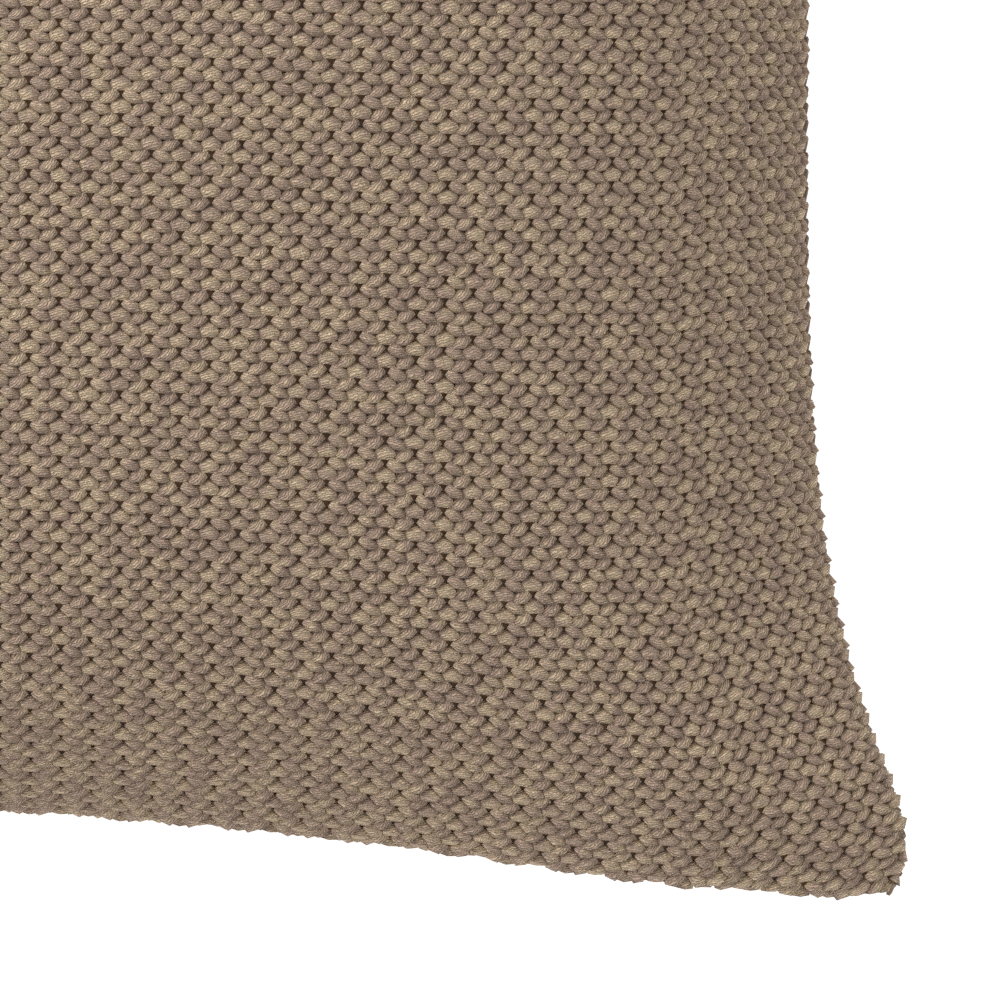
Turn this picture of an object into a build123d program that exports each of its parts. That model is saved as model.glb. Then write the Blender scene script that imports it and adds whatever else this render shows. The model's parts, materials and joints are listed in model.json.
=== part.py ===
from build123d import *
import math
import os

# A square throw pillow: a knitted cover with a concealed zip in its lower seam, and a stuffed
# insert inside it. It lies on its back, with +Z up out of its front, its zip towards -Y, and its
# origin in the middle of the patch that it rests on. All sizes are in millimetres.

# ---- Driving dimensions ------------------------------------------------------------------------

# The stuffed cover
width = 483.0            # corner to corner along X
depth = 480.0            # corner to corner along Y
side_pull_in = 26.0      # how far the middle of a side seam lies inside its corners
end_pull_in = 24.0       # the same, on the top seam and the zip seam
crown = 84.0             # height of the middle of each panel above the seam, before it is flattened
rest_sag = 6.0           # how much of the back's crown the floor flattens
knit_thick = 4.0         # the knitted fabric
rim_steepness = 85.0     # degrees of arc in a panel's profile: 90 would be a half ellipse

# The linked seam between the two panels
seam_thick = 2.4
seam_deep = 3.0
seam_set_back = 0.4

# The insert
rim_room = 12.0          # between the cover's inside and the insert, at the seam
crown_room = 1.0         # the same, at the crown
rest_room = 0.4          # the same, where it rests
woven_thick = 0.7        # the insert's woven shell
insert_seam_thick = 0.8
insert_seam_deep = 2.0
closing_length = 120.0   # the stretch of the insert's seam that is closed after it is stuffed

# The zip
zip_length = 360.0
tape_wide = 12.0
tape_thick = 0.5
tape_overrun = 8.0       # tape past each end of the coils
coil_wide = 1.7
coil_deep = 2.0
slit = 2.0               # between the two rows of coil
zip_mouth = 4.4          # height of the slot between the cover's two lips
thread_thick = 0.3
stitch_wide = 1.0
stitch_from_slit = 7.0
stop_long = 1.6
stop_wall = 0.5
slider_long = 9.0
slider_wide = 6.8
slider_tail_wide = 5.0
slider_plate = 1.0
neck_thick = 1.4
neck_long = 5.0
arch_long = 7.0
arch_wall = 0.8
end_room = 10.0          # from each end of the zip to the middle of the slider's travel limit

# The pull tab
bar_radius = 0.45
tab_thick = 0.9
tab_wide = 5.6
tab_long = 22.0
arm_wide = 0.9
tab_hole = 1.2

# The care label, sewn into the left seam
label_wide = 30.0
label_long = 44.0
label_thick = 0.5
label_y = -60.0
label_stitch_wide = 2.0

# Clearances
seam_gap = 0.1           # between pieces sewn together, modelled apart
layer_gap = 0.15         # between two layers of cloth
moving_gap = 0.3         # between pieces on different bodies

# ---- Derived sizes -----------------------------------------------------------------------------

seam_height = crown - rest_sag
zip_rim = depth / 2 - end_pull_in                     # the zip seam's distance from the middle
zip_radius = (width / 2) ** 2 / (2 * end_pull_in)     # the zip seam bows in along this arc
zip_centre_y = -zip_rim - zip_radius
insert_inset = knit_thick + rim_room
tape_inset = knit_thick + layer_gap
thread_inset = tape_inset + tape_thick + seam_gap / 2
slider_at = zip_length / 2 - end_room                 # arc length from the middle, at each limit
zip_travel_degrees = math.degrees(2 * slider_at / zip_radius)
big = 4 * max(width, depth)
rim_angle = math.radians(rim_steepness)
grid = 21                                             # points across a panel's surface


# ---- The crowned form that the cover, the insert and the filling share ---------------------------

def profile(angle):
    """How far out (0 to 1) and how high (1 to 0) a panel's profile is at an angle of its arc."""
    out = math.sin(angle) / math.sin(rim_angle)
    high = (math.cos(angle) - math.cos(rim_angle)) / (1 - math.cos(rim_angle))
    return out, high


def surface_point(i, j, inset):
    """A point on a panel's surface, with its height measured from the seam."""
    u, u_high = profile(rim_angle * (2 * i / (grid - 1) - 1))
    v, v_high = profile(rim_angle * (2 * j / (grid - 1) - 1))
    x = u * (width / 2 - inset - side_pull_in * (1 - v ** 4))
    y = v * (depth / 2 - inset - end_pull_in * (1 - u ** 2))
    on_rim = i in (0, grid - 1) or j in (0, grid - 1)
    return x, y, 0.0 if on_rim else u_high * v_high


def front_surface(inset, rise, foot=0.0):
    """The front's crowned surface, whose outline lies at a height of foot above the seam plane."""
    rows = []
    for i in range(grid):
        row = []
        for j in range(grid):
            x, y, high = surface_point(i, j, inset)
            row.append(Vector(x, y, seam_height + foot + (rise - foot) * high))
        rows.append(row)
    return Face.make_surface_from_array_of_points(rows, tol=0.01, max_deg=5)


def outline(top):
    """The flat face inside a crowned surface's outline."""
    return Face(Wire(top.edges()))


def front_form(inset, rise, foot=0.0, rim=0.0):
    """The front half of the pillow's form, as a solid from foot up, with a straight rim below."""
    top = front_surface(inset, rise, foot + rim)
    flat = outline(top)
    form = Part([Solid(Shell([top, flat]))])
    if rim:
        form += Pos(0, 0, -rim) * extrude(flat, rim, dir=(0, 0, 1))
    return form


def back_form(inset, rise, foot=0.0, rim=0.0):
    """The back half: the front half mirrored in the seam plane."""
    return mirror(front_form(inset, rise, foot, rim), about=Plane.XY.offset(seam_height))


def slab(low, high):
    """All the space between two heights."""
    return Pos(0, 0, (low + high) / 2) * Box(big, big, high - low)


def outline_ring(inset, wide, thick):
    """A flat ring along the pillow's outline, centred on the seam plane."""
    outer = extrude(outline(front_surface(inset, crown)), thick, dir=(0, 0, 1))
    inner = extrude(outline(front_surface(inset + wide, crown)), thick, dir=(0, 0, 1))
    return Pos(0, 0, -thick / 2) * (outer - inner)


def quarter(side):
    """The quarter of the plan that faces a side, as a prism out from the middle."""
    x, y = width, depth
    corners = {
        "top": [(x, y), (-x, y)],
        "left": [(-x, y), (-x, -y)],
        "bottom": [(-x, -y), (x, -y)],
        "right": [(x, -y), (x, y)],
    }[side]
    plan = make_face(Polyline((0, 0), *corners, close=True))
    return Pos(0, 0, -big / 2) * extrude(plan, big)


def arc_point(along, deep):
    """A point of the plan by its length along the zip seam and its depth inside the seam."""
    turn = along / zip_radius
    radius = zip_radius + deep
    return radius * math.sin(turn), zip_centre_y + radius * math.cos(turn)


def zip_band(start, end, near, far, low, high):
    """A strip that follows the zip seam, between two lengths, two depths and two heights."""
    middle = (start + end) / 2
    near_arc = ThreePointArc(arc_point(start, near), arc_point(middle, near), arc_point(end, near))
    far_arc = ThreePointArc(arc_point(end, far), arc_point(middle, far), arc_point(start, far))
    sides = [Line(near_arc @ 1, far_arc @ 0), Line(far_arc @ 1, near_arc @ 0)]
    plan = make_face([near_arc, sides[0], far_arc, sides[1]])
    return Pos(0, 0, seam_height + low) * extrude(plan, high - low)


def rim_depth(inset, height, along):
    """How deep inside the zip seam a layer's surface is, at a height above the seam."""
    u = math.sin(along / zip_radius) * zip_radius / (width / 2)
    u_angle = math.asin(u * math.sin(rim_angle))
    u_high = profile(u_angle)[1]
    v_high = height / ((crown - inset) * u_high)
    v_angle = math.acos(v_high * (1 - math.cos(rim_angle)) + math.cos(rim_angle))
    reach = depth / 2 - inset - end_pull_in * (1 - u ** 2)
    return inset + reach * (1 - profile(v_angle)[0])


# ---- The cover -----------------------------------------------------------------------------------

panel_gap = seam_thick / 2 + seam_gap
zip_end = zip_length / 2


def zip_slot():
    return zip_band(-zip_end, zip_end, -knit_thick, insert_inset, -zip_mouth / 2, zip_mouth / 2)


def cover_front():
    panel = front_form(0, crown, panel_gap, knit_thick - panel_gap)
    return panel - front_form(knit_thick, crown - knit_thick, panel_gap) - zip_slot()


def cover_back():
    panel = back_form(0, crown, panel_gap, knit_thick - panel_gap) & slab(0, seam_height)
    hollow = back_form(knit_thick, crown - knit_thick, panel_gap) & slab(knit_thick, seam_height)
    return panel - hollow - zip_slot()


def seams():
    """The chains of linking yarn that join the panels: three sides, and both ends of the zip."""
    ring = outline_ring(seam_set_back, seam_deep, seam_thick)
    stretches = {"seam_" + side: ring & quarter(side) for side in ("top", "left", "right")}
    low = ring & quarter("bottom")
    low -= zip_band(-zip_end, zip_end, -knit_thick, insert_inset, -seam_thick, seam_thick)
    for solid in low.solids():
        name = "seam_zip_left" if solid.center().X < 0 else "seam_zip_right"
        stretches[name] = Part([solid])
    return stretches


# ---- The insert ----------------------------------------------------------------------------------

insert_crown = crown - knit_thick - crown_room
insert_rest = knit_thick + rest_room
insert_gap = insert_seam_thick / 2 + seam_gap


def insert_front():
    shell = front_form(insert_inset, insert_crown, insert_gap, woven_thick)
    return shell - front_form(insert_inset + woven_thick, insert_crown - woven_thick, insert_gap)


def insert_back():
    shell = back_form(insert_inset, insert_crown, insert_gap, woven_thick)
    shell &= slab(insert_rest, seam_height)
    hollow = back_form(insert_inset + woven_thick, insert_crown - woven_thick, insert_gap)
    return shell - (hollow & slab(insert_rest + woven_thick, seam_height))


def insert_fill():
    """The loose fibre, which fills the insert's shell."""
    inset = insert_inset + insert_seam_deep + layer_gap
    rise = insert_crown - woven_thick - layer_gap
    low = back_form(inset, rise) & slab(insert_rest + woven_thick + layer_gap, seam_height)
    return front_form(inset, rise) + low


def insert_seams():
    """The sewn seam round the insert, and the stretch that was closed after stuffing."""
    inset = insert_inset + seam_set_back / 2
    ring = outline_ring(inset, insert_seam_deep - seam_set_back / 2, insert_seam_thick)
    top_room = Pos(0, depth / 2, seam_height) * Box(closing_length, depth, 2 * insert_seam_thick)
    return {"insert_seam": ring - top_room, "insert_closing_seam": ring & top_room}


# ---- The care label ------------------------------------------------------------------------------

def label_layer(inset, thick, drop):
    """A patch that lies on the back panel's inside by the left seam and reaches down by drop."""
    layer = back_form(inset, crown - inset) - back_form(inset + thick, crown - inset - thick)
    low = seam_height - panel_gap - drop
    room = Pos(-width / 2, label_y, low + drop / 2) * Box(width / 2, label_wide, drop)
    return layer & room


def care_label():
    return label_layer(tape_inset, label_thick, label_long)


def label_stitch():
    return label_layer(tape_inset + label_thick + seam_gap / 2, thread_thick, label_stitch_wide)


# ---- The zip -------------------------------------------------------------------------------------

tape_end = zip_end + tape_overrun
coil_end = zip_end - seam_set_back
coil_near = rim_depth(tape_inset + tape_thick, slit / 2 + coil_wide, zip_end) + seam_gap
coil_far = coil_near + coil_deep


def cloth_on_tape(inset, thick, low, high, end):
    """A thin layer that lies inside the front panel along the zip."""
    layer = front_form(inset, crown - inset) - front_form(inset + thick, crown - inset - thick)
    return layer & zip_band(-end, end, -knit_thick, 3 * tape_wide, low, high)


def other_side(piece):
    """The same piece on the back panel."""
    return mirror(piece, about=Plane.XY.offset(seam_height))


def zip_tape():
    return cloth_on_tape(tape_inset, tape_thick, slit / 2, slit / 2 + tape_wide, tape_end)


def zip_stitch():
    low = slit / 2 + stitch_from_slit
    return cloth_on_tape(thread_inset, thread_thick, low, low + stitch_wide, tape_end)


def zip_coil():
    return zip_band(-coil_end, coil_end, coil_near, coil_far, slit / 2, slit / 2 + coil_wide)


def zip_stop(start, low):
    """A metal crimp round one row of coil, or both when low is below zero."""
    high = slit / 2 + coil_wide + stop_wall
    block = zip_band(start, start + stop_long, coil_near, coil_far + stop_wall, low, high)
    return block - zip_coil() - other_side(zip_coil())


def along_zip(piece, along):
    """A piece made at the middle of the zip seam, moved along its arc."""
    about = Pos(0, zip_centre_y, 0)
    return about * Rot(0, 0, -math.degrees(along / zip_radius)) * Pos(0, -zip_centre_y, 0) * piece


def block_at(x_long, near, far, thick):
    """A block at the middle of the zip seam, centred on the slit, between two depths."""
    middle = Pos(0, -zip_rim + (near + far) / 2, seam_height)
    return middle * Box(x_long, far - near, thick)


bar_depth = -(tab_thick / 2 + moving_gap + bar_radius + seam_gap)    # outside the seam
arch_room = bar_radius + moving_gap


def zip_slider():
    """A concealed slider: a plate behind the coils, a neck in the slit and an arch outside."""
    plate_near = coil_far + moving_gap
    half_long = slider_long / 2
    plan = make_face(Polyline(
        (-half_long, slider_wide / 2),
        (half_long, slider_tail_wide / 2),
        (half_long, -slider_tail_wide / 2),
        (-half_long, -slider_wide / 2),
        close=True,
    ))
    plate = extrude(plan, slider_plate)
    plate = fillet(plate.edges().filter_by(Axis.Z), slider_plate)
    plate = Pos(0, -zip_rim + plate_near, seam_height) * Rot(-90, 0, 0) * plate
    outer = bar_depth - arch_room - arch_wall
    neck = block_at(neck_long, outer + arch_wall, plate_near + slider_plate / 2, neck_thick)
    head = block_at(arch_long, outer, bar_depth + arch_room + arch_wall, neck_thick)
    head = fillet(head.edges().filter_by(Axis.Z), arch_wall)
    window = block_at(arch_long - 2 * arch_wall, bar_depth - arch_room, bar_depth + arch_room, slider_wide)
    return plate + neck + head - window


def zip_pull():
    """The tab: a bar through the arch, two arms beside it, and a flat tongue with a hole."""
    arm_from = neck_thick / 2 + moving_gap
    arm_out = arm_from + arm_wide
    swing = math.hypot(arch_long / 2, arch_room + arch_wall) + moving_gap
    tab_near = bar_depth - tab_thick / 2
    bar = Pos(0, -zip_rim + bar_depth, seam_height) * Cylinder(bar_radius, 2 * arm_out)
    tongue = block_at(tab_long - swing, tab_near, tab_near + tab_thick, tab_wide)
    tongue = fillet(tongue.edges().filter_by(Axis.Y), arm_wide)
    tongue = Pos((tab_long + swing) / 2, 0, 0) * tongue
    hole_at = Pos(tab_long - 2 * tab_hole - arm_wide, -zip_rim + bar_depth, seam_height)
    tongue -= hole_at * Rot(90, 0, 0) * Cylinder(tab_hole, 2 * tab_thick)
    arm = block_at(swing + arm_wide, tab_near, tab_near + tab_thick, arm_wide)
    arm_x = (swing + arm_wide) / 2
    arms = [Pos(arm_x, 0, side * (arm_from + arm_wide / 2)) * arm for side in (-1, 1)]
    return bar + tongue + arms[0] + arms[1]


# ---- All the nodes -------------------------------------------------------------------------------

def all_nodes():
    closed = -slider_at
    stop_room = slider_long / 2 + moving_gap
    stop = zip_stop(closed - stop_room - stop_long, slit / 4)
    nodes = {"cover_front": cover_front(), "cover_back": cover_back()}
    nodes.update(seams())
    nodes["insert_front"] = insert_front()
    nodes["insert_back"] = insert_back()
    nodes["insert_fill"] = insert_fill()
    nodes.update(insert_seams())
    nodes["care_label"] = care_label()
    nodes["label_stitch"] = label_stitch()
    nodes["zip_tape_front"] = zip_tape()
    nodes["zip_tape_back"] = other_side(zip_tape())
    nodes["zip_stitch_front"] = zip_stitch()
    nodes["zip_stitch_back"] = other_side(zip_stitch())
    nodes["zip_coil_front"] = zip_coil()
    nodes["zip_coil_back"] = other_side(zip_coil())
    nodes["zip_top_stop_front"] = stop
    nodes["zip_top_stop_back"] = other_side(stop)
    nodes["zip_bottom_stop"] = zip_stop(slider_at + stop_room, -slit / 2 - coil_wide - stop_wall)
    nodes["zip_slider"] = along_zip(zip_slider(), closed)
    nodes["zip_pull"] = along_zip(zip_pull(), closed)
    return nodes


os.makedirs("parts", exist_ok=True)
for name, piece in all_nodes().items():
    export_step(piece, f"parts/{name}.step")

pull_x, pull_y = arc_point(-slider_at, bar_depth)
print(f"zip arc: centre y {zip_centre_y:.3f}, travel {zip_travel_degrees:.3f} degrees")
print(f"pull pivot: {pull_x:.3f}, {pull_y:.3f}, {seam_height:.3f}")
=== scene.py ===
# %% [markdown]
# # A knitted throw pillow
# A square cushion whose cover is knitted from thick two-tone yarn. The two panels are linked to each
# other with a chain of the same yarn along three sides, and a zip closes the fourth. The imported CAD
# model is the frame: it holds every size, and the pieces made here only say how things look.

import json
import math

import bpy
import numpy as np
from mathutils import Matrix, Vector


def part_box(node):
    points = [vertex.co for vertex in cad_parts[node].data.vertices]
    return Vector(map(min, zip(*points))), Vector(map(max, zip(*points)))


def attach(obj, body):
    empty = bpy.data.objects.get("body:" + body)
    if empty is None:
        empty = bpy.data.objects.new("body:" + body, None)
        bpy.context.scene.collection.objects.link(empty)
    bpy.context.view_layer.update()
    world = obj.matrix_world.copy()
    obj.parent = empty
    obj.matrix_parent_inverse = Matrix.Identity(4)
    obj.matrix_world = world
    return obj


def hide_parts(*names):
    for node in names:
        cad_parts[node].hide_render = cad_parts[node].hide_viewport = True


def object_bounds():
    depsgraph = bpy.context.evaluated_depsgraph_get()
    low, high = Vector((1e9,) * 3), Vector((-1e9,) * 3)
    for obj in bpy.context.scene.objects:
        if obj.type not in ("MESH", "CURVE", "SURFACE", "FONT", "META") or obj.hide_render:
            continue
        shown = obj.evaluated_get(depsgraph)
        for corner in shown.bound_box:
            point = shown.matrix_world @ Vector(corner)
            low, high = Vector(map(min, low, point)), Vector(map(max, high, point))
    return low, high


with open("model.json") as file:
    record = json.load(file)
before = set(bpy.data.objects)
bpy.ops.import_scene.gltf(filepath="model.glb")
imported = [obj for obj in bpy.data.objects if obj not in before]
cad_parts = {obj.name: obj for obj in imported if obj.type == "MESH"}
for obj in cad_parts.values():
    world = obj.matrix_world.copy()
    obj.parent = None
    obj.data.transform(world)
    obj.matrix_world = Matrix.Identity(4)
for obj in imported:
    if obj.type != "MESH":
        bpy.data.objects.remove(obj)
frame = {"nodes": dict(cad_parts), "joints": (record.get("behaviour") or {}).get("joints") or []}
cad_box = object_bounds()
scene = bpy.context.scene
MM = 0.001
print("CAD box", [[round(x, 4) for x in corner] for corner in cad_box])

# %% [markdown]
# ## Small helpers
# Every node tree below, for a shape or for a finish, is built with one function that adds a node, sets
# its options and fills or links its inputs. Colours are written as the sRGB hex values that one would
# pick, and the shader wants linear light, so one function turns them.


# %% Node and colour helpers
def add(tree, kind, inputs=None, **settings):
    """Adds a node, sets its options, then links or fills its inputs."""
    made = tree.nodes.new(kind)
    for name, value in settings.items():
        setattr(made, name, value)
    for key, value in (inputs or {}).items():
        if isinstance(value, bpy.types.NodeSocket):
            tree.links.new(value, made.inputs[key])
        else:
            made.inputs[key].default_value = value
    return made


def linear(hex_colour):
    """An sRGB hex colour as linear RGBA."""
    parts = [int(hex_colour[i : i + 2], 16) / 255 for i in (0, 2, 4)]
    return [c / 12.92 if c <= 0.04045 else ((c + 0.055) / 1.055) ** 2.4 for c in parts] + [1.0]


def new_material(name, **sockets):
    """A material with its Principled shader, and the shader's constant sockets set."""
    material = bpy.data.materials.new(name)
    material.use_nodes = True
    tree = material.node_tree
    shader = tree.nodes["Principled BSDF"]
    for socket, value in sockets.items():
        shader.inputs[socket.replace("_", " ")].default_value = value
    return material, tree, shader


# %% [markdown]
# ## Camera, light and floor
# The pillow is looked at straight down its thickness, close to the middle, so that its lower right
# quarter fills the view. A long lens keeps the near crown and the far rim at almost one scale. The
# light is a large soft lamp high on the left with plenty of white fill around.

# %% Camera
SEAM_PLANE = 0.5 * (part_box("seam_top")[0].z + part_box("seam_top")[1].z)
VIEW_SIDE = 0.267  # side of the square of rim plane in view
LENS_HEIGHT = 2.2
camera = bpy.data.objects.new("camera", bpy.data.cameras.new("camera"))
scene.collection.objects.link(camera)
camera.location = (0.0, 0.0, LENS_HEIGHT)
aim = Vector((VIEW_SIDE / 2, -VIEW_SIDE / 2, SEAM_PLANE))
camera.rotation_euler = Vector((0, 0, -1)).rotation_difference(aim - camera.location).to_euler()
camera.data.sensor_width = 36.0
camera.data.lens = 36.0 * (aim - camera.location).length / VIEW_SIDE
camera.data.clip_end = 20.0
scene.camera = camera
print("lens", round(camera.data.lens, 1), "mm at", round((aim - camera.location).length, 3), "m")

# %% Light and floor
world = bpy.data.worlds.new("studio")
scene.world = world
world.use_nodes = True
world.node_tree.nodes["Background"].inputs["Color"].default_value = (1.0, 0.99, 0.98, 1.0)
world.node_tree.nodes["Background"].inputs["Strength"].default_value = 0.52

for name, place, size, power in (
    ("key_softbox", (-1.5, 1.0, 1.5), 1.4, 38.0),
    ("side_softbox", (1.6, -0.7, 1.5), 1.6, 5.0),
):
    lamp = bpy.data.lights.new(name, "AREA")
    lamp.size = size
    lamp.energy = power
    holder = bpy.data.objects.new(name, lamp)
    scene.collection.objects.link(holder)
    holder.location = place
    holder.rotation_euler = (Vector((0, 0, 0.05)) - holder.location).to_track_quat("-Z", "Y").to_euler()

floor_mesh = bpy.data.meshes.new("floor")
floor_mesh.from_pydata([(-4, -4, 0), (4, -4, 0), (4, 4, 0), (-4, 4, 0)], [], [(0, 1, 2, 3)])
floor = bpy.data.objects.new("floor", floor_mesh)
scene.collection.objects.link(floor)
paper, _, _ = new_material(
    "white_paper_sweep", Base_Color=linear("f4f3f2"), Roughness=0.95, Emission_Strength=0.7
)
paper.node_tree.nodes["Principled BSDF"].inputs["Emission Color"].default_value = (1, 1, 1, 1)
floor_mesh.materials.append(paper)
scene.view_settings.view_transform = "Standard"

# %% [markdown]
# ## The form of the cushion
# A stuffed square cushion is crowned in the middle, and its sides pull in between the corners, because
# the cloth there has farther to go over the filling. The form below is the same rule as the CAD
# panels': an arc over each direction, multiplied together. The fabric's middle surface lies one
# yarn's height inside, so that the tops of the stitches reach the CAD surface. Just above and below the
# seam the filling makes the knit bulge a few millimetres past it, most of all towards the corners, so
# the chain and the zip sit in a shallow groove.

# %% The sizes and the rule
WIDTH = cad_box[1][0] - cad_box[0][0]
DEPTH = cad_box[1][1] - cad_box[0][1]
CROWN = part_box("cover_front")[1].z - SEAM_PLANE
SIDE_PULL_IN = 26 * MM
END_PULL_IN = 24 * MM
RIM_STEEPNESS = math.radians(85)
YARN_TOP = 3.0 * MM  # from the fabric's middle surface to the tops of the stitches
FOOT = 0.9 * MM  # from the seam plane to the panels' edges where they are linked
MOUTH = 2.3 * MM  # the same where the zip is
LIPS_PART = 1.3 * MM  # how much more it is next to the slider
CORNER = 0.06  # share of the half width that each corner is rounded over
BULGE_AT = 0.08  # share of the crown's height at which the sides stand out farthest
SEAM_SHARE = 0.5  # share of the bulge that the seam itself goes along with
ZIP_ENDS_AT = 0.89  # share of the half width at which the seam has left the zip's arc
ZIP_FADE = 0.07  # share over which it leaves it


def standing_out(height, at_seam):
    """Share of the bulge by height: 'at_seam' on the seam, 1 at BULGE_AT, and none on the crown."""
    hump = (height / BULGE_AT) * np.exp(1 - height / BULGE_AT)
    return at_seam * np.exp(-((height / (2 * BULGE_AT)) ** 2)) * (1 - hump) + hump


def crowned_grid(cells, inset, rise):
    """A grid of points over half a cushion, x to the right, y up, z from the seam plane."""
    angle = np.linspace(-RIM_STEEPNESS, RIM_STEEPNESS, cells + 1)
    out = np.sin(angle) / math.sin(RIM_STEEPNESS)
    high = (np.cos(angle) - math.cos(RIM_STEEPNESS)) / (1 - math.cos(RIM_STEEPNESS))
    u, v = np.meshgrid(out, out, indexing="ij")
    fu, fv = np.meshgrid(high, high, indexing="ij")
    # near a corner, the square of (u, v) is bent onto a quarter disc
    past_u = np.maximum(np.abs(u) - (1 - CORNER), 0) / CORNER
    past_v = np.maximum(np.abs(v) - (1 - CORNER), 0) / CORNER
    bend = np.maximum(past_u, past_v) / np.maximum(np.hypot(past_u, past_v), 1e-9)
    both = (past_u > 0) & (past_v > 0)
    u = np.where(both, np.sign(u) * (1 - CORNER + CORNER * past_u * bend), u)
    v = np.where(both, np.sign(v) * (1 - CORNER + CORNER * past_v * bend), v)
    x = u * (WIDTH / 2 - inset - SIDE_PULL_IN * (1 - v**4))
    y = v * (DEPTH / 2 - inset - END_PULL_IN * (1 - u**2))
    # the bulge, in mm, grows towards a corner and dies out at its tip; the seam goes half of the way
    # with it, but not along the zip, whose tapes hold the edge on their arc
    zipped = np.clip((ZIP_ENDS_AT - np.abs(u)) / ZIP_FADE, 0, 1) * (v < 0)
    side_tip = 1 - np.clip((np.abs(v) - 0.87) / 0.16, 0, 1) ** 2
    end_tip = 1 - np.clip((np.abs(u) - 0.59) / 0.49, 0, 1) ** 2
    side_bulge = (2.2 + 14.5 * np.abs(v) ** 3.1) * side_tip * MM
    end_bulge = (4.3 + 11 * np.abs(u) ** 0.9) * end_tip * MM
    x += np.sign(u) * side_bulge * standing_out(fu, SEAM_SHARE)
    y += np.sign(v) * end_bulge * standing_out(fv, SEAM_SHARE * (1 - zipped))
    return np.stack([x, y, rise * fu * fv], axis=-1)


# %% [markdown]
# ## Filling it
# On the real pillow the fabric hangs between its seams and the filling pushes it out. Blender's Cloth
# does the same: both halves are one closed mesh, pinned along the seam, that starts a little flat and
# is blown up for twenty frames with no gravity. The travel of each point is capped, so the pillow keeps
# its size, and the face that it lies on is pressed flat.

# %% Blow the fabric up
CELLS = 64
CAP = 6 * MM
START_FLAT = 4 * MM


def two_sided(cells, inset, rise):
    """One closed mesh of a front and a back half that share the seam's points."""
    front = crowned_grid(cells, inset, rise)
    side = cells + 1
    number = np.arange(side * side).reshape(side, side)
    back_number = number.copy()
    inner = number[1:-1, 1:-1]
    back_number[1:-1, 1:-1] = side * side + np.arange(inner.size).reshape(inner.shape)
    back = front[1:-1, 1:-1].reshape(-1, 3) * (1, 1, -1)
    points = np.concatenate([front.reshape(-1, 3), back])
    faces = []
    for grid, flip in ((number, False), (back_number, True)):
        quads = np.stack([grid[:-1, :-1], grid[1:, :-1], grid[1:, 1:], grid[:-1, 1:]], -1).reshape(-1, 4)
        faces += (quads[:, ::-1] if flip else quads).tolist()
    rim = np.concatenate([number[0], number[-1], number[1:-1, 0], number[1:-1, -1]])
    return points, faces, rim, number, back_number


def filled(cells, inset, rise, pressure, cap):
    """Front and back grids of points after the fabric is blown up and capped."""
    points, faces, rim, number, back_number = two_sided(cells, inset, rise - START_FLAT)
    target = two_sided(cells, inset, rise)[0]
    mesh = bpy.data.meshes.new("blown")
    mesh.from_pydata(points.tolist(), [], faces)
    blown = bpy.data.objects.new("blown", mesh)
    scene.collection.objects.link(blown)
    pins = blown.vertex_groups.new(name="seam")
    pins.add(rim.tolist(), 1.0, "REPLACE")
    cloth = blown.modifiers.new("filling", "CLOTH")
    cloth.settings.quality = 5
    cloth.settings.mass = 0.3
    cloth.settings.tension_stiffness = 12
    cloth.settings.compression_stiffness = 12
    cloth.settings.shear_stiffness = 4
    cloth.settings.bending_stiffness = 1.5
    cloth.settings.vertex_group_mass = "seam"
    cloth.settings.use_pressure = True
    cloth.settings.uniform_pressure_force = pressure
    cloth.settings.effector_weights.gravity = 0
    for step in range(1, 21):
        scene.frame_set(step)
    shaped = blown.evaluated_get(bpy.context.evaluated_depsgraph_get())
    got = np.empty(len(points) * 3, np.float32)
    shaped.data.vertices.foreach_get("co", got)
    scene.frame_set(1)
    bpy.data.objects.remove(blown)
    travel = got.reshape(-1, 3).astype(float) - points
    reach = np.linalg.norm(travel, axis=1, keepdims=True)
    moved = points + travel * np.minimum(1.0, cap / np.maximum(reach, 1e-9))
    print("blown up: farthest travel", round(float(reach.max()) / MM, 1), "mm, capped at", cap / MM)
    halves = []
    for grid, sign in ((number, 1), (back_number, -1)):
        half = moved[grid.reshape(-1)].reshape(*grid.shape, 3).copy()
        half[..., 2] *= sign * rise / float(np.abs(half[..., 2]).max())
        halves.append(half)
    return halves


front_fabric, back_fabric = filled(CELLS, YARN_TOP, CROWN - YARN_TOP, 4.0, CAP)
print("crown of the fabric", round(float(front_fabric[..., 2].max()) / MM, 1), "mm above the seam")

# %% [markdown]
# ## Fabric coordinates
# A knitted panel has the same number of stitches in every row, wherever the filling pushes it. So each
# panel gets a UV map that runs from 0 to 1 along the fabric, by length measured on the surface, in both
# directions. Stitches set out evenly on that map then lie on the cushion as real ones do, crowded where
# the fabric turns away at the rim and fanned where the cushion is wider.


# %% Panels with fabric coordinates
MOUTH_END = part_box("seam_zip_right")[0].x + 14 * MM
PARTED_FROM = 150 * MM  # past this, on both sides, the lips part for the slider and its tab


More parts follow.
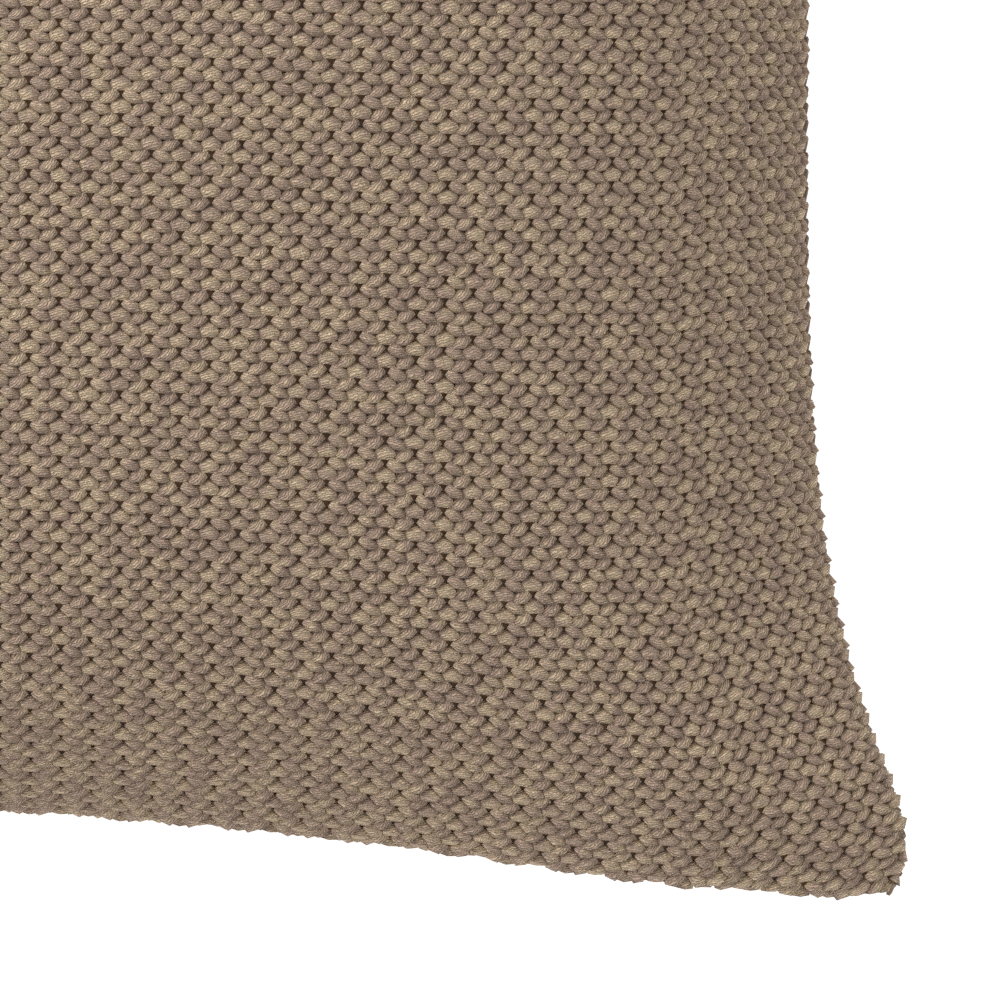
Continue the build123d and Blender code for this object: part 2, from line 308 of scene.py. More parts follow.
def panel(name, half, side):
    """The middle surface of one panel as a mesh, with UV 'fabric' and the outward direction 'out'."""
    place = half.copy()
    crown = place[..., 2].max()
    near_zip = np.clip(1 - (place[..., 1] + DEPTH / 2) / (50 * MM), 0, 1) ** 0.5
    near_zip *= np.clip((MOUTH_END - np.abs(place[..., 0])) / (8 * MM), 0, 1)
    parted = np.clip((np.abs(place[..., 0]) - PARTED_FROM) / (10 * MM), 0, 1)
    foot = FOOT + (MOUTH + LIPS_PART * parted - FOOT) * near_zip
    place[..., 2] = foot + place[..., 2] * (crown - foot) / crown
    if side < 0:
        place[..., 2] = SEAM_PLANE - place[..., 2]
        place[..., 2] = np.maximum(place[..., 2], YARN_TOP + 0.45 * MM)
        place = place[::-1]
    else:
        place[..., 2] += SEAM_PLANE
    across = np.concatenate(
        [np.zeros((1, place.shape[1])), np.cumsum(np.linalg.norm(np.diff(place, axis=0), axis=-1), 0)]
    )
    along = np.concatenate(
        [np.zeros((place.shape[0], 1)), np.cumsum(np.linalg.norm(np.diff(place, axis=1), axis=-1), 1)], 1
    )
    middle = place.shape[0] // 2
    print(name, "is", round(across[-1, middle] / MM), "by", round(along[middle, -1] / MM), "mm of fabric")
    uv = np.stack([across / across[-1:], along / along[:, -1:]], -1).reshape(-1, 2)
    number = np.arange(place.shape[0] * place.shape[1]).reshape(place.shape[:2])
    quads = np.stack([number[:-1, :-1], number[1:, :-1], number[1:, 1:], number[:-1, 1:]], -1).reshape(-1, 4)
    mesh = bpy.data.meshes.new(name)
    mesh.from_pydata(place.reshape(-1, 3).tolist(), [], quads.tolist())
    layer = mesh.uv_layers.new(name="fabric")
    layer.data.foreach_set("uv", uv[quads.reshape(-1)].reshape(-1).astype(np.float32))
    mesh.polygons.foreach_set("use_smooth", [True] * len(mesh.polygons))
    coarse = bpy.data.objects.new(name, mesh)
    scene.collection.objects.link(coarse)
    finer = coarse.modifiers.new("finer", "SUBSURF")
    finer.levels = finer.render_levels = 1
    finer.boundary_smooth = "PRESERVE_CORNERS"
    finer.uv_smooth = "PRESERVE_BOUNDARIES"
    smooth = bpy.data.meshes.new_from_object(coarse.evaluated_get(bpy.context.evaluated_depsgraph_get()))
    bpy.data.objects.remove(coarse)
    out = smooth.attributes.new("out", "FLOAT_VECTOR", "POINT")
    normals = np.empty(len(smooth.vertices) * 3, np.float32)
    smooth.vertex_normals.foreach_get("vector", normals)
    out.data.foreach_set("vector", normals)
    result = bpy.data.objects.new(name, smooth)
    scene.collection.objects.link(result)
    return result


panels = {
    "front": panel("panel_front", front_fabric, 1),
    "back": panel("panel_back", back_fabric, -1),
}

# %% [markdown]
# ## One stitch
# The cover is moss stitch. Each stitch shows a bright head, where the yarn lies across, and two wings
# that leave the head above, droop to the sides and lie over the row below like roof tiles, with a small
# dark slot between them. Neighbouring columns are shifted by half a stitch, so that heads and wings lock
# together. One stitch is a tube along a short path, thick where it shows and thin where it dives behind.
# There are thousands of them, so each has only as many faces as the eye needs.

# %% The stitch
WALE = 7.9  # one column, across, in mm
COURSE = 6.2  # one repeat, up, in mm
YARN = 1.58  # the yarn's radius, in mm
# From the middle of the head outwards: x, y, height, share of the yarn's radius, and how much the tube
# leans, which lifts its lower edge so that it overhangs what is below.
RIGHT_HALF = (
    (0.0, -2.75, 0.6, 1.5, -0.2),
    (1.35, -2.9, 0.5, 1.42, -0.15),
    (2.5, -3.2, -0.7, 1.0, 0.0),
    (5.4, -1.2, -1.0, 0.75, 0.5),
    (4.85, -0.7, 0.3, 1.05, 0.5),
    (2.95, -0.1, 0.85, 1.3, 0.5),
    (1.2, 1.1, 0.3, 1.15, 0.2),
)


def tube(name, path, sides, radius, stretch=(1.0, 1.0, 1.0), closed=False):
    """A light tube mesh along (x, y, z, share[, lean]) points in mm, with UV 'yarn' = (mm along, turn)."""
    centre = np.array([p[:3] for p in path], float)
    share = np.array([p[3] for p in path], float) * radius
    lean = [p[4] if len(p) > 4 else 0.0 for p in path]
    count = len(centre)
    if closed:
        ahead = np.roll(centre, -1, 0) - np.roll(centre, 1, 0)
    else:
        ahead = np.gradient(centre, axis=0)
    ahead /= np.linalg.norm(ahead, axis=1, keepdims=True)
    across = np.array([0.0, 1.0, 0.0]) if abs(ahead[0][1]) < 0.9 else np.array([0.0, 0.0, 1.0])
    points, length = [], [0.0]
    for i in range(count):
        across = across - ahead[i] * (across @ ahead[i])
        across /= np.linalg.norm(across)
        third = np.cross(ahead[i], across)
        if i:
            length.append(length[-1] + float(np.linalg.norm(centre[i] - centre[i - 1])))
        for k in range(sides):
            turn = 2 * math.pi * (k + 0.5) / sides
            offset = share[i] * (math.cos(turn) * across + math.sin(turn) * third)
            points.append(centre[i] + offset - np.array([0, 0, lean[i] * offset[1]]))
    if closed:
        length.append(length[-1] + float(np.linalg.norm(centre[0] - centre[-1])))
    faces, uv = [], []
    for i in range(count if closed else count - 1):
        j = (i + 1) % count
        for k in range(sides):
            m = (k + 1) % sides
            faces.append((i * sides + k, i * sides + m, j * sides + m, j * sides + k))
            low, high = k / sides, (k + 1) / sides
            uv += [(length[i], low), (length[i], high), (length[i + 1], high), (length[i + 1], low)]
    if not closed:
        faces.append(tuple(range(sides - 1, -1, -1)))
        faces.append(tuple(range((count - 1) * sides, count * sides)))
        uv += [(length[0], 0.5)] * sides + [(length[-1], 0.5)] * sides
    mesh = bpy.data.meshes.new(name)
    mesh.from_pydata((np.array(points) * MM * stretch).tolist(), [], faces)
    mesh.uv_layers.new(name="yarn").data.foreach_set("uv", np.array(uv, np.float32).reshape(-1))
    mesh.polygons.foreach_set("use_smooth", [True] * len(mesh.polygons))
    return mesh, length[-1]


left_half = [(-p[0], *p[1:]) for p in RIGHT_HALF[:0:-1]]
# Across and up, the stitch is stored in columns and repeats; its height stays in metres.
in_stitches = (1 / (WALE * MM), 1 / (COURSE * MM), 1.0)
stitch_mesh, stitch_length = tube("stitch", left_half + list(RIGHT_HALF), 5, YARN, in_stitches)
stitch = bpy.data.objects.new("stitch", stitch_mesh)
scene.collection.objects.link(stitch)
print("one stitch:", len(stitch_mesh.polygons), "faces,", round(stitch_length, 1), "mm of yarn")

# %% [markdown]
# ## The yarn's finish
# The yarn is soft cotton, twisted from many fine plies. What the eye gets from it is ridges that lean
# along the yarn with dark grooves between, short bright flecks, a matte surface with a little sheen, and
# two shades, a sandy one and a pinkish grey one, that change every stitch or two. The dark grooves and
# the bright ridges and flecks are painted into the colour as painted shade and painted highlight, and
# each stitch's head is painted sandier as a painted highlight.

# %% Plied yarn material
PLIES = 17
PLY_LEAN = 0.045  # turns per mm of yarn


def yarn_material(name, sandy, rosy, middle, painted_groove_shade=0.45, painted_ridge_highlight=1.85):
    """Plied yarn on UV 'yarn': ridges that lean with the twist, flecks, and two shades. The colour is
    painted darker in the grooves and lighter on the ridges, as painted shade and highlight, and painted
    sandier within a few mm of 'middle', the head of the stitch, which sees the most light: a painted
    highlight."""
    material, tree, shader = new_material(
        name, Roughness=0.88, Sheen_Weight=0.12, Sheen_Roughness=0.5, Specular_IOR_Level=0.3
    )
    yarn = add(tree, "ShaderNodeSeparateXYZ", {0: add(tree, "ShaderNodeUVMap", uv_map="yarn").outputs[0]})
    where = add(tree, "ShaderNodeTexCoord").outputs["Object"]
    lean = add(
        tree,
        "ShaderNodeMath",
        {0: yarn.outputs[0], 1: PLY_LEAN, 2: yarn.outputs[1]},
        operation="MULTIPLY_ADD",
    )
    stray = add(tree, "ShaderNodeTexNoise", {"Vector": where, "Scale": 900.0, "Detail": 1.0})
    turns = add(
        tree, "ShaderNodeMath", {0: lean.outputs[0], 1: PLIES * 2 * math.pi}, operation="MULTIPLY"
    )
    strand = add(
        tree,
        "ShaderNodeMath",
        {0: stray.outputs[0], 1: 10.0, 2: turns.outputs[0]},
        operation="MULTIPLY_ADD",
    )
    ridges = add(tree, "ShaderNodeMath", {0: strand.outputs[0]}, operation="SINE")
    fuzz = add(tree, "ShaderNodeTexNoise", {"Vector": where, "Scale": 2600.0, "Detail": 2.0})
    relief = add(
        tree,
        "ShaderNodeMath",
        {0: fuzz.outputs[0], 1: 3.2, 2: ridges.outputs[0]},
        operation="MULTIPLY_ADD",
    )
    bump = add(
        tree, "ShaderNodeBump", {"Strength": 1.0, "Distance": 0.22 * MM, "Height": relief.outputs[0]}
    )
    tree.links.new(bump.outputs[0], shader.inputs["Normal"])
    patch = add(tree, "ShaderNodeTexNoise", {"Vector": where, "Scale": 190.0, "Detail": 1.0})
    shade = add(tree, "ShaderNodeMapRange", {0: patch.outputs[0], 1: 0.38, 2: 0.62, 3: -0.3, 4: 0.8})
    # painted highlight: within a few mm of the head, which sees the most light, the colour is pushed towards
    # the sandy shade
    off_head = add(tree, "ShaderNodeMath", {0: yarn.outputs[0], 1: middle}, operation="SUBTRACT")
    distance = add(tree, "ShaderNodeMath", {0: off_head.outputs[0]}, operation="ABSOLUTE")
    head = add(tree, "ShaderNodeMapRange", {0: distance.outputs[0], 1: 3.0, 2: 1.0, 3: 0.0, 4: 0.35})
    blend = add(
        tree, "ShaderNodeMath", {0: shade.outputs[0], 1: head.outputs[0]}, operation="ADD", use_clamp=True
    )
    colour = add(
        tree,
        "ShaderNodeMix",
        {0: blend.outputs[0], 6: linear(rosy), 7: linear(sandy)},
        data_type="RGBA",
    )
    # painted shade and painted highlight: the relief of the plies and flecks scales the colour, darker in
    # the grooves and lighter on the ridges
    light = add(tree, "ShaderNodeMapRange", {0: relief.outputs[0], 1: -0.2, 2: 3.4, 3: painted_groove_shade, 4: painted_ridge_highlight})
    final = add(
        tree, "ShaderNodeVectorMath", {0: colour.outputs[2], "Scale": light.outputs[0]}, operation="SCALE"
    )
    tree.links.new(final.outputs[0], shader.inputs["Base Color"])
    return material


knit_yarn = yarn_material("cotton_yarn_plied", "d8c0a1", "c0a692", stitch_length / 2)
print("material", knit_yarn.name, "with", len(knit_yarn.node_tree.nodes), "nodes")

# %% [markdown]
# ## Knitting the panels
# Geometry Nodes do the knitting. A grid of points is laid out in fabric coordinates, every second column
# half a stitch higher, a stitch is set on each, and the realised stitches are carried onto the panel: each
# point takes the place on the panel with its own fabric coordinates, raised along the outward direction
# by its height. Small seeded changes of place and size keep it from looking printed.


# %% The knitting tree
def knitting_tree():
    tree = bpy.data.node_groups.new("knitting", "GeometryNodeTree")
    face = tree.interface
    face.new_socket("Geometry", in_out="OUTPUT", socket_type="NodeSocketGeometry")
    for label, kind in (
        ("Panel", "NodeSocketGeometry"),
        ("Columns", "NodeSocketInt"),
        ("Repeats", "NodeSocketInt"),
        ("Stitch", "NodeSocketObject"),
        ("Yarn", "NodeSocketMaterial"),
        ("Wander", "NodeSocketFloat"),
        ("Seed", "NodeSocketInt"),
    ):
        face.new_socket(label, in_out="INPUT", socket_type=kind)
    given = add(tree, "NodeGroupInput").outputs

    def maths(operation, *values):
        return add(tree, "ShaderNodeMath", dict(enumerate(values)), operation=operation).outputs[0]

    # points in stitches: column + 1/2, and repeat + 0.55, or 1.05 in every second column
    grid = add(
        tree,
        "GeometryNodeMeshGrid",
        {"Size X": 1.0, "Size Y": 1.0, "Vertices X": given["Columns"], "Vertices Y": given["Repeats"]},
    )
    at = add(tree, "ShaderNodeSeparateXYZ", {0: add(tree, "GeometryNodeInputPosition").outputs[0]})
    column = maths(
        "ROUND", maths("MULTIPLY", maths("ADD", at.outputs[0], 0.5), maths("SUBTRACT", given["Columns"], 1))
    )
    repeat = maths(
        "ROUND", maths("MULTIPLY", maths("ADD", at.outputs[1], 0.5), maths("SUBTRACT", given["Repeats"], 1))
    )
    shift = maths("MULTIPLY", maths("MODULO", column, 2.0), 0.5)
    columns = maths("ADD", given["Columns"], 0.3)
    repeats = maths("ADD", given["Repeats"], 0.3)
    wander = add(
        tree,
        "FunctionNodeRandomValue",
        {0: (-1, -1, -1), 1: (1, 1, 1), "Seed": given["Seed"]},
        data_type="FLOAT_VECTOR",
    )
    loose = add(
        tree, "ShaderNodeVectorMath", {0: wander.outputs[0], "Scale": given["Wander"]}, operation="SCALE"
    )
    apart = add(tree, "ShaderNodeSeparateXYZ", {0: loose.outputs[0]})
    set_out = add(
        tree,
        "ShaderNodeCombineXYZ",
        {
            0: maths("DIVIDE", maths("ADD", maths("ADD", column, 0.65), apart.outputs[0]), columns),
            1: maths(
                "DIVIDE",
                maths("ADD", maths("ADD", maths("ADD", repeat, shift), 0.55), apart.outputs[1]),
                repeats,
            ),
            2: maths("MULTIPLY", apart.outputs[2], 0.004),
        },
    )
    lattice = add(
        tree, "GeometryNodeSetPosition", {"Geometry": grid.outputs[0], "Position": set_out.outputs[0]}
    )
    # one stitch on each point, a little larger or smaller
    size = add(
        tree,
        "FunctionNodeRandomValue",
        {0: (0.95, 0.95, 0.9), 1: (1.05, 1.05, 1.08), "Seed": maths("ADD", given["Seed"], 1)},
        data_type="FLOAT_VECTOR",
    )
    per_stitch = add(
        tree,
        "ShaderNodeCombineXYZ",
        {0: maths("DIVIDE", 1.0, columns), 1: maths("DIVIDE", 1.0, repeats), 2: 1.0},
    )
    scale = add(
        tree, "ShaderNodeVectorMath", {0: size.outputs[0], 1: per_stitch.outputs[0]}, operation="MULTIPLY"
    )
    model = add(tree, "GeometryNodeObjectInfo", {"Object": given["Stitch"]})
    placed = add(
        tree,
        "GeometryNodeInstanceOnPoints",
        {"Points": lattice.outputs[0], "Instance": model.outputs["Geometry"], "Scale": scale.outputs[0]},
    )
    real = add(tree, "GeometryNodeRealizeInstances", {"Geometry": placed.outputs[0]})
    # the same coordinates are stored as a second UV map, and then take the points to the panel
    here = add(tree, "ShaderNodeSeparateXYZ", {0: add(tree, "GeometryNodeInputPosition").outputs[0]})
    flat = add(
        tree,
        "ShaderNodeCombineXYZ",
        {
            0: maths("MINIMUM", maths("MAXIMUM", here.outputs[0], 0.0005), 0.9995),
            1: maths("MINIMUM", maths("MAXIMUM", here.outputs[1], 0.0005), 0.9995),
        },
    )
    mapped = add(
        tree,
        "GeometryNodeStoreNamedAttribute",
        {"Geometry": real.outputs[0], "Name": "OFBake", "Value": flat.outputs[0]},
        data_type="FLOAT2",
        domain="CORNER",
    )
    fabric = add(tree, "GeometryNodeInputNamedAttribute", {"Name": "fabric"}, data_type="FLOAT_VECTOR")
    outward = add(tree, "GeometryNodeInputNamedAttribute", {"Name": "out"}, data_type="FLOAT_VECTOR")
    carried = []
    for value in (add(tree, "GeometryNodeInputPosition").outputs[0], outward.outputs[0]):
        carried.append(
            add(
                tree,
                "GeometryNodeSampleUVSurface",
                {
                    "Mesh": given["Panel"],
                    "Value": value,
                    "UV Map": fabric.outputs[0],
                    "Sample UV": flat.outputs[0],
                },
                data_type="FLOAT_VECTOR",
            ).outputs[0]
        )
    unit = add(tree, "ShaderNodeVectorMath", {0: carried[1]}, operation="NORMALIZE")
    raised = add(
        tree, "ShaderNodeVectorMath", {0: unit.outputs[0], "Scale": here.outputs[2]}, operation="SCALE"
    )
    landed = add(tree, "ShaderNodeVectorMath", {0: carried[0], 1: raised.outputs[0]}, operation="ADD")
    wrapped = add(
        tree, "GeometryNodeSetPosition", {"Geometry": mapped.outputs[0], "Position": landed.outputs[0]}
    )
    dressed = add(
        tree, "GeometryNodeSetMaterial", {"Geometry": wrapped.outputs[0], "Material": given["Yarn"]}
    )
    add(tree, "NodeGroupOutput", {"Geometry": dressed.outputs[0]})
    return tree


def made_by_nodes(name, source, tree, values):
    """A plain mesh object from a node tree on a copy of source; values are given by input name."""
    holder = bpy.data.objects.new(name + "_source", source.data)
    scene.collection.objects.link(holder)
    nodes = holder.modifiers.new("nodes", "NODES")
    nodes.node_group = tree
    for item in tree.interface.items_tree:
        if item.item_type == "SOCKET" and item.in_out == "INPUT" and item.name in values:
            nodes[item.identifier] = values[item.name]
    plain = bpy.data.meshes.new_from_object(holder.evaluated_get(bpy.context.evaluated_depsgraph_get()))
    bpy.data.objects.remove(holder)
    plain.name = name
    piece = bpy.data.objects.new(name, plain)
    scene.collection.objects.link(piece)
    return piece


# %% Knit front and back
COLUMNS = 61
REPEATS = 81
knit_tree = knitting_tree()
for side, seed in (("front", 11), ("back", 23)):
    knit = made_by_nodes(
        "knit_" + side,
        panels[side],
        knit_tree,
        {
            "Columns": COLUMNS,
            "Repeats": REPEATS,
            "Stitch": stitch,
            "Yarn": knit_yarn,
            "Wander": 0.02,
            "Seed": seed,
        },
    )
    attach(knit, "pillow")
    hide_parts("cover_" + side)
    print(knit.name, len(knit.data.polygons), "faces", [layer.name for layer in knit.data.uv_layers])

# %% [markdown]
# ## Behind the stitches
# Looking into the slots of a knit, one sees its purl side, the same yarn in shade. A thin closed shell just
# under the stitches stands for it, so that no light comes through, with the yarn's colour darkened: painted
# shade.

# %% The ground under the stitches
# the purl side: the same yarn in shadow, matte, with no stitch shape of its own
ground, ground_tree, ground_shader = new_material("yarn_purl_side_in_shadow", Roughness=0.95)
purl = add(
    ground_tree,
    "ShaderNodeTexNoise",
    {"Vector": add(ground_tree, "ShaderNodeTexCoord").outputs["Object"], "Scale": 700.0, "Detail": 2.0},
)
purl_shade = add(
    ground_tree,
    "ShaderNodeMix",
    {0: purl.outputs[0], 6: linear("6b5644"), 7: linear("8c7662")},
    data_type="RGBA",
)
ground_tree.links.new(purl_shade.outputs[2], ground_shader.inputs["Base Color"])
for side in ("front", "back"):
    shell_mesh = panels[side].data.copy()
    shell = bpy.data.objects.new("ground_" + side, shell_mesh)
    scene.collection.objects.link(shell)
    place = np.empty(len(shell_mesh.vertices) * 3, np.float32)
    away = place.copy()
    shell_mesh.vertices.foreach_get("co", place)
    shell_mesh.attributes["out"].data.foreach_get("vector", away)
    shell_mesh.vertices.foreach_set("co", place + away * 0.2 * MM)
    wall = shell.modifiers.new("wall", "SOLIDIFY")
    wall.thickness = 1.0 * MM
    wall.offset = -1.0
    shell.data = bpy.data.meshes.new_from_object(
        shell.evaluated_get(bpy.context.evaluated_depsgraph_get())
    )
    shell.modifiers.clear()
    shell.data.materials.clear()
    shell.data.materials.append(ground)
    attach(shell, "pillow")
    bpy.data.objects.remove(panels[side])
    print(shell.name, len(shell.data.polygons), "faces")
bpy.data.objects.remove(stitch)

# %% [markdown]
# ## The linked seams
# The two panels are joined stitch to stitch with a chain of the same yarn, which runs along the top and
# both sides and a little way in from each lower corner, up to the zip. Geometry Nodes set one link on the
# path after another, each turned to the path, and the links overlap as a crocheted chain does.


# %% A tree that strings links on a path
def stringing_tree():
    tree = bpy.data.node_groups.new("stringing", "GeometryNodeTree")
    face = tree.interface
    face.new_socket("Geometry", in_out="OUTPUT", socket_type="NodeSocketGeometry")
    for label, kind in (
        ("Path", "NodeSocketGeometry"),
        ("Link", "NodeSocketObject"),
        ("Spacing", "NodeSocketFloat"),
        ("Finish", "NodeSocketMaterial"),
    ):
        face.new_socket(label, in_out="INPUT", socket_type=kind)
    given = add(tree, "NodeGroupInput").outputs
    line = add(tree, "GeometryNodeMeshToCurve", {"Mesh": given["Path"]})
    evenly = add(
        tree,
        "GeometryNodeResampleCurve",
        {"Curve": line.outputs[0], "Length": given["Spacing"]},
        mode="LENGTH",
    )
    turned = add(
        tree,
        "FunctionNodeAxesToRotation",
        {0: add(tree, "GeometryNodeInputTangent").outputs[0], 1: (0.0, 0.0, 1.0)},
        primary_axis="X",
        secondary_axis="Z",
    )
    model = add(tree, "GeometryNodeObjectInfo", {"Object": given["Link"]})
    placed = add(
        tree,
        "GeometryNodeInstanceOnPoints",
        {
            "Points": evenly.outputs[0],
            "Instance": model.outputs["Geometry"],
            "Rotation": turned.outputs[0],
        },
    )
    real = add(tree, "GeometryNodeRealizeInstances", {"Geometry": placed.outputs[0]})
    dressed = add(
        tree, "GeometryNodeSetMaterial", {"Geometry": real.outputs[0], "Material": given["Finish"]}
    )
    add(tree, "NodeGroupOutput", {"Geometry": dressed.outputs[0]})
    return tree


def path_object(name, points):
    """A mesh of edges along points, for the stringing tree."""
    mesh = bpy.data.meshes.new(name)
    mesh.from_pydata([tuple(p) for p in points], [(i, i + 1) for i in range(len(points) - 1)], [])
    made = bpy.data.objects.new(name, mesh)
    scene.collection.objects.link(made)
    return made


def strung(name, points, link, spacing, finish):
    """Links along points as one plain piece that rides on the pillow."""
    source = path_object(name + "_path", points)
    piece = made_by_nodes(name, source, string_tree, {"Link": link, "Spacing": spacing, "Finish": finish})
    bpy.data.objects.remove(source)
    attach(piece, "pillow")
    print(piece.name, len(piece.data.polygons), "faces")
    return piece


string_tree = stringing_tree()

# %% Chains along the seams
LINK_SPACING = 4.4 * MM
CHAIN_INSET = 2.3 * MM
# painted shade: the knit's own yarn with both of its shades painted darker, a shaded copy for the chain
chain_yarn_shaded_copy = yarn_material("cotton_yarn_linked_shaded_copy", "bda789", "a99182", 0.0)
ring = ((-3.0, 0), (-1.3, 0.95), (1.3, 1.35), (2.9, 0.75), (2.9, -0.75), (1.3, -1.35), (-1.3, -0.95))
link_mesh, _ = tube("link", [(x, -0.22 * x, z, 1.0) for x, z in ring], 5, 0.85, closed=True)
link = bpy.data.objects.new("link", link_mesh)
scene.collection.objects.link(link)

rim = crowned_grid(240, CHAIN_INSET, 0.0)
rim[..., 2] = SEAM_PLANE
zip_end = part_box("seam_zip_right")[0].x
bottom = rim[:, 0]
chains = {
    "seam_left": rim[0, ::-1],
    "seam_zip_left": bottom[bottom[:, 0] <= -zip_end],
    "seam_zip_right": bottom[bottom[:, 0] >= zip_end],
    "seam_right": rim[-1],
    "seam_top": rim[::-1, -1],
}
for node, points in chains.items():
    chain = strung("chain_" + node[5:], points, link, LINK_SPACING, chain_yarn_shaded_copy)
    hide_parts(node)
bpy.data.objects.remove(link)

# %% [markdown]
# ## The zip
# The fourth side has a nylon coil zip on two woven tapes, a little way inside the edge. A coil is one
# stiff thread wound round and round, so each row is a small ring repeated every millimetre and a half
# along the zip's arc, whose centre is the slider's hinge. The tapes, stops, slider and pull keep the
# shapes that the CAD model gave them.

# %% Coils
COIL_PITCH = 1.5 * MM
# drawn nylon: a dyed plastic thread, smooth enough to give each turn a small highlight
nylon, nylon_tree, nylon_shader = new_material(
    "nylon_coil_dyed", Base_Color=linear("7d6a58"), Roughness=0.38, IOR=1.53, Specular_IOR_Level=0.5
)
drawn = add(
    nylon_tree,
    "ShaderNodeTexNoise",
    {"Vector": add(nylon_tree, "ShaderNodeTexCoord").outputs["Object"], "Scale": 1500.0, "Detail": 1.0},
)
nylon_tree.links.new(
    add(nylon_tree, "ShaderNodeMapRange", {0: drawn.outputs[0], 3: 0.3, 4: 0.5}).outputs[0],
    nylon_shader.inputs["Roughness"],
)
tooth_ring = [
    (0.25 * math.sin(2 * t), 0.68 * math.cos(t), 0.53 * math.sin(t), 1.0)
    for t in (2 * math.pi * k / 8 for k in range(8))
]
tooth_mesh, _ = tube("tooth", tooth_ring, 5, 0.3, closed=True)
tooth = bpy.data.objects.new("tooth", tooth_mesh)
scene.collection.objects.link(tooth)
hinge = next(j for j in frame["joints"] if j["name"] == "zip_travel")
pivot = hinge["pos_m"]
for node in ("zip_coil_front", "zip_coil_back"):
    low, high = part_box(node)
    radius = high.y - 1.0 * MM - pivot[1]
    reach = (high.x - 0.5 * MM) / radius
    arc = [
        (radius * math.sin(t), pivot[1] + radius * math.cos(t), 0.5 * (low.z + high.z))
        for t in np.linspace(-reach, reach, 121)
    ]
    coil = strung(node[4:], arc, tooth, COIL_PITCH, nylon)
    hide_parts(node)
bpy.data.objects.remove(tooth)

# %% [markdown]
# ## The insert
# Inside is a plain cotton case filled with fibre. It has the cover's form, a little smaller, and its
# seam puckers. It is closed, and is never seen while the zip's mouth is narrow, but it is a real piece.


# %% Woven cloth material
def woven_material(name, thread, gap_painted_shade, spacing, roughness, turned=0.0, **sockets):
    """Plain weave on Object coordinates: threads cross over and under every 'spacing' metres."""
    material, tree, shader = new_material(name, Roughness=roughness, **sockets)
    where = add(
        tree,
        "ShaderNodeMapping",
        {0: add(tree, "ShaderNodeTexCoord").outputs["Object"], "Rotation": (0.0, 0.0, turned)},
    )
    along = add(tree, "ShaderNodeSeparateXYZ", {0: where.outputs[0]})
    waves = []
    for axis in range(3):
        turn = add(
            tree, "ShaderNodeMath", {0: along.outputs[axis], 1: math.pi / spacing}, operation="MULTIPLY"
        )
        waves.append(add(tree, "ShaderNodeMath", {0: turn.outputs[0]}, operation="SINE").outputs[0])
    # a face seen square on shows two of the three waves, and the third is added so that none is blank
    crossing = add(tree, "ShaderNodeMath", {0: waves[0], 1: waves[1]}, operation="MULTIPLY")
    relief = add(
        tree,
        "ShaderNodeMath",
        {0: waves[2], 1: 0.35, 2: crossing.outputs[0]},
        operation="MULTIPLY_ADD",
    )
    slub = add(tree, "ShaderNodeTexNoise", {"Vector": where.outputs[0], "Scale": 900.0, "Detail": 2.0})
    uneven = add(
        tree, "ShaderNodeMath", {0: slub.outputs[0], 1: 0.8, 2: relief.outputs[0]}, operation="MULTIPLY_ADD"
    )
    bump = add(
        tree,
        "ShaderNodeBump",
        {"Strength": 0.7, "Distance": 0.25 * spacing, "Height": uneven.outputs[0]},
    )
    tree.links.new(bump.outputs[0], shader.inputs["Normal"])
    # painted shade: where the relief is low, between the threads, the colour goes to the darker gap colour;
    # the slubs' unevenness is the cloth's own
    share = add(tree, "ShaderNodeMapRange", {0: uneven.outputs[0], 1: -1.0, 2: 1.8, 3: 0.0, 4: 1.0})
    colour = add(
        tree, "ShaderNodeMix", {0: share.outputs[0], 6: linear(gap_painted_shade), 7: linear(thread)}, data_type="RGBA"
    )
    tree.links.new(colour.outputs[2], shader.inputs["Base Color"])
    return material


# bleached cotton: threads thick enough to see, matte. Polyester tape: tighter, with a dull gloss. Satin:
# threads finer than the eye parts, so what is seen is a soft sheen
cotton = woven_material("cotton_case_plain_weave", "efebe2", "c9c3b6", 0.45 * MM, 0.85, Sheen_Weight=0.1)
tape_cloth = woven_material("polyester_tape_woven", "8c7967", "5f4f42", 0.5 * MM, 0.7)
satin = woven_material("satin_label_woven", "f3f0e9", "d9d4c9", 0.22 * MM, 0.45, Sheen_Weight=0.3)

# %% The insert's case
low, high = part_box("insert_front")
# the case is drawn in a little from the CAD insert's box, so that the slider clears it
DRAWN_IN = 0.985
CASE_RISE = 0.945  # its height, as a share of the cover fabric's
scale = (
    DRAWN_IN * high.x / float(front_fabric[..., 0].max()),
    DRAWN_IN * high.y / float(front_fabric[..., 1].max()),
    CASE_RISE,
)
_, faces, _, number, back_number = two_sided(CELLS, YARN_TOP, CROWN - YARN_TOP)
case = np.empty((int(back_number.max()) + 1, 3))
case[number.reshape(-1)] = (front_fabric * scale).reshape(-1, 3)
case[back_number[1:-1, 1:-1].reshape(-1)] = (back_fabric * scale)[1:-1, 1:-1].reshape(-1, 3)
case[back_number[1:-1, 1:-1].reshape(-1), 2] *= -1
# puckers: short waves along the seam that die out within about 15 mm of height
PUCKERS, PUCKER_DEEP, PUCKER_REACH = 58, 0.9 * MM, 14 * MM
angle = np.arctan2(case[:, 1], case[:, 0])
fading = np.exp(-np.abs(case[:, 2]) / PUCKER_REACH) * np.sign(case[:, 2])
case[:, 2] += PUCKER_DEEP * np.sin(PUCKERS * angle) * fading
case[:, 2] = np.maximum(case[:, 2] + SEAM_PLANE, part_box("insert_back")[0].z)
case_mesh = bpy.data.meshes.new("insert_case")
case_mesh.from_pydata(case.tolist(), [], faces)
case_mesh.polygons.foreach_set("use_smooth", [True] * len(case_mesh.polygons))
case_mesh.materials.append(cotton)
insert_case = bpy.data.objects.new("insert_case", case_mesh)
scene.collection.objects.link(insert_case)
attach(insert_case, "pillow")
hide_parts("insert_front", "insert_back")
print("insert case", len(faces), "faces, up to", round(float(case[:, 2].max()) / MM, 1), "mm")
